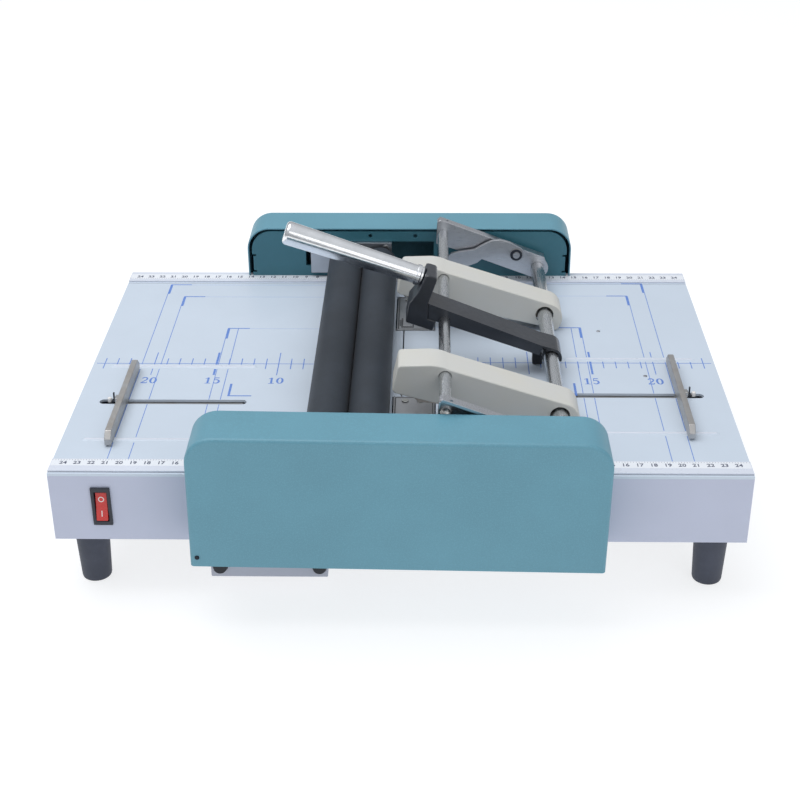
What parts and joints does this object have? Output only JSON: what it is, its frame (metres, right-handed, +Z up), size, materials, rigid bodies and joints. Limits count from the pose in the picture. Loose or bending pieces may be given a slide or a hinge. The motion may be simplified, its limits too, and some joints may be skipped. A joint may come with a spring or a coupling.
{
  "type": "booklet maker",
  "caption": "Bench-top booklet maker: sheet table, hand-lever saddle stapler with paired heads, powered rubber folding rollers, fold knife, sliding paper guides.",
  "frame": {"origin": "centre of the floor footprint, on the surface that the feet stand on", "axes": "+X to the right along the table, +Y to the back, +Z up"},
  "size_m": [0.498, 0.4231, 0.2293],
  "materials": {
    "body_paint": "satin lilac-grey enamel",
    "deck_paint": "satin pale blue-white enamel with printed guide lines",
    "rail_paint": "satin white enamel with a printed centimetre tape",
    "cover_paint": "fine textured teal powder coat",
    "frame_paint": "smooth darker teal enamel",
    "tray_paint": "satin light grey enamel",
    "zinc_plate": "zinc-plated sheet",
    "arm_steel": "zinc-plated sheet, bright edges",
    "anvil_steel": "ground steel",
    "shaft_steel": "ground bright steel",
    "guide_steel": "nickel-plated bar with bronze-toned worn ends",
    "gear_steel": "oiled machined steel",
    "spring_steel": "oil-tempered spring wire",
    "screw_steel": "zinc-plated fasteners",
    "magazine_steel": "bronze-toned plated sheet",
    "bronze": "sintered bronze",
    "pinion_brass": "machined brass",
    "chrome": "polished chrome plate",
    "black_paint": "satin black enamel with lightly worn edges",
    "black_screw": "black oxide",
    "motor_case": "dark enamelled housing",
    "roller_rubber": "ground matt rubber",
    "foot_rubber": "moulded rubber",
    "rubber_black": "moulded rubber",
    "head_plastic": "fine-textured moulded plastic, warm grey-white",
    "black_plastic": "moulded plastic",
    "red_plastic": "translucent red moulded plastic, white marks"
  },
  "bodies": {
    "root": {"chassis": "body_paint", "bottom_plate": "zinc_plate", "left_deck": "deck_paint", "centre_plate": "deck_paint", "right_deck": "deck_paint", "front_ruler_rail": "rail_paint", "rear_ruler_rail": "rail_paint", "front_side_frame": "frame_paint", "rear_side_frame": "frame_paint", "front_side_cover": "cover_paint", "rear_side_cover": "cover_paint", "cover_screws": "black_screw", "front_bearing_plate": "zinc_plate", "rear_bearing_plate": "zinc_plate", "bushes": "bronze", "plate_screws": "screw_steel", "front_anvil": "anvil_steel", "rear_anvil": "anvil_steel", "hinge_shaft": "shaft_steel", "lever_stop": "rubber_black", "switch_bezel": "black_plastic", "power_inlet": "black_plastic", "gearmotor": "motor_case", "motor_tray": "tray_paint", "tray_buttons": "rubber_black", "knife_posts": "shaft_steel", "knife_solenoid": "motor_case", "rocker_bracket": "zinc_plate", "feet": "foot_rubber", "return_springs": "spring_steel"},
    "left_roller_set": {"left_roller": "roller_rubber", "left_roller_shaft": "shaft_steel", "left_roller_gear": "gear_steel"},
    "right_roller_set": {"right_roller": "roller_rubber", "right_roller_shaft": "shaft_steel", "right_roller_gear": "gear_steel"},
    "idler": {"idler_gear": "gear_steel"},
    "motor_output": {"motor_pinion": "pinion_brass"},
    "press_frame": {"lever_arm": "black_paint", "handle_block": "black_paint", "handle_collar": "chrome", "handle_tube": "chrome", "press_shaft": "shaft_steel", "front_side_arm": "arm_steel", "rear_side_arm": "arm_steel", "retaining_clips": "screw_steel"},
    "link": {"arc_link": "arm_steel"},
    "trip": {"trip_lever": "zinc_plate"},
    "front_head": {"front_head_cover": "head_plastic", "front_driver": "anvil_steel"},
    "rear_head": {"rear_head_cover": "head_plastic", "rear_driver": "anvil_steel"},
    "front_staples": {"front_magazine": "magazine_steel"},
    "rear_staples": {"rear_magazine": "magazine_steel"},
    "left_guide": {"left_guide_bar": "guide_steel"},
    "right_guide": {"right_guide_bar": "guide_steel"},
    "switch": {"power_rocker": "red_plastic"},
    "knife": {"fold_knife": "anvil_steel"},
    "rocker": {"knife_rocker": "gear_steel"},
    "plunger": {"solenoid_plunger": "shaft_steel"}
  },
  "joints": [
    {"name": "left_roller_spin", "type": "hinge", "parent": "root", "child": "left_roller_set", "pos_m": [-0.0537, 0, 0.122], "axis": [0, 1, 0], "continuous": true},
    {"name": "right_roller_spin", "type": "hinge", "parent": "root", "child": "right_roller_set", "pos_m": [-0.0233, 0, 0.122], "axis": [0, 1, 0], "continuous": true},
    {"name": "idler_spin", "type": "hinge", "parent": "root", "child": "idler", "pos_m": [-0.06606, -0.179, 0.09423], "axis": [0, 1, 0], "continuous": true},
    {"name": "pinion_spin", "type": "hinge", "parent": "root", "child": "motor_output", "pos_m": [-0.07311, -0.179, 0.07254], "axis": [0, 1, 0], "continuous": true},
    {"name": "press_hinge", "type": "hinge", "parent": "root", "child": "press_frame", "pos_m": [0.1165, 0, 0.12], "axis": [0, -1, 0], "range_deg": [0, 14], "stiffness_Nm_per_rad": 4, "springref_deg": -34.38},
    {"name": "link_hinge", "type": "hinge", "parent": "press_frame", "child": "link", "pos_m": [0.097, 0.15, 0.1355], "axis": [0, -1, 0], "range_deg": [-18, 0.5]},
    {"name": "trip_hinge", "type": "hinge", "parent": "root", "child": "trip", "pos_m": [0.002, 0.146, 0.1106], "axis": [0, -1, 0], "range_deg": [-0.5, 22.6]},
    {"name": "front_head_hinge", "type": "hinge", "parent": "root", "child": "front_head", "pos_m": [0.1165, -0.1005, 0.12], "axis": [0, -1, 0], "range_deg": [0, 14.5]},
    {"name": "rear_head_hinge", "type": "hinge", "parent": "root", "child": "rear_head", "pos_m": [0.1165, 0.0715, 0.12], "axis": [0, -1, 0], "range_deg": [0, 14.5]},
    {"name": "front_magazine_hinge", "type": "hinge", "parent": "root", "child": "front_staples", "pos_m": [0.1165, -0.1005, 0.12], "axis": [0, -1, 0], "range_deg": [0, 12]},
    {"name": "rear_magazine_hinge", "type": "hinge", "parent": "root", "child": "rear_staples", "pos_m": [0.1165, 0.0715, 0.12], "axis": [0, -1, 0], "range_deg": [0, 12]},
    {"name": "left_guide_slide", "type": "slide", "parent": "root", "child": "left_guide", "axis": [1, 0, 0], "range_m": [-0.01, 0.071]},
    {"name": "right_guide_slide", "type": "slide", "parent": "root", "child": "right_guide", "axis": [-1, 0, 0], "range_m": [-0.01, 0.071]},
    {"name": "power_switch", "type": "hinge", "parent": "root", "child": "switch", "pos_m": [-0.2125, -0.1706, 0.0785], "axis": [1, 0, 0], "range_deg": [0, 12]},
    {"name": "knife_slide", "type": "slide", "parent": "root", "child": "knife", "axis": [0, 0, 1], "range_m": [0, 0.0165]},
    {"name": "knife_rocker_hinge", "type": "hinge", "parent": "root", "child": "rocker", "pos_m": [0.015, 0, 0.064], "axis": [0, 1, 0], "range_deg": [-0.5, 18.5]},
    {"name": "plunger_slide", "type": "slide", "parent": "root", "child": "plunger", "axis": [0, 0, -1], "range_m": [-0.0002, 0.0125]}
  ],
  "couplings": [
    {"joint": "right_roller_spin", "follows": "left_roller_spin", "ratio": -1},
    {"joint": "idler_spin", "follows": "left_roller_spin", "ratio": -1},
    {"joint": "pinion_spin", "follows": "left_roller_spin", "ratio": 2},
    {"joint": "link_hinge", "follows": "press_hinge", "ratio": -1.196},
    {"joint": "trip_hinge", "follows": "press_hinge", "ratio": 1.57},
    {"joint": "front_head_hinge", "follows": "press_hinge", "ratio": 1},
    {"joint": "rear_head_hinge", "follows": "press_hinge", "ratio": 1},
    {"joint": "front_magazine_hinge", "follows": "press_hinge", "ratio": 0.8},
    {"joint": "rear_magazine_hinge", "follows": "press_hinge", "ratio": 0.8},
    {"joint": "knife_rocker_hinge", "follows": "knife_slide", "rad_per_m": 19.04},
    {"joint": "plunger_slide", "follows": "knife_slide", "ratio": 0.72}
  ]
}
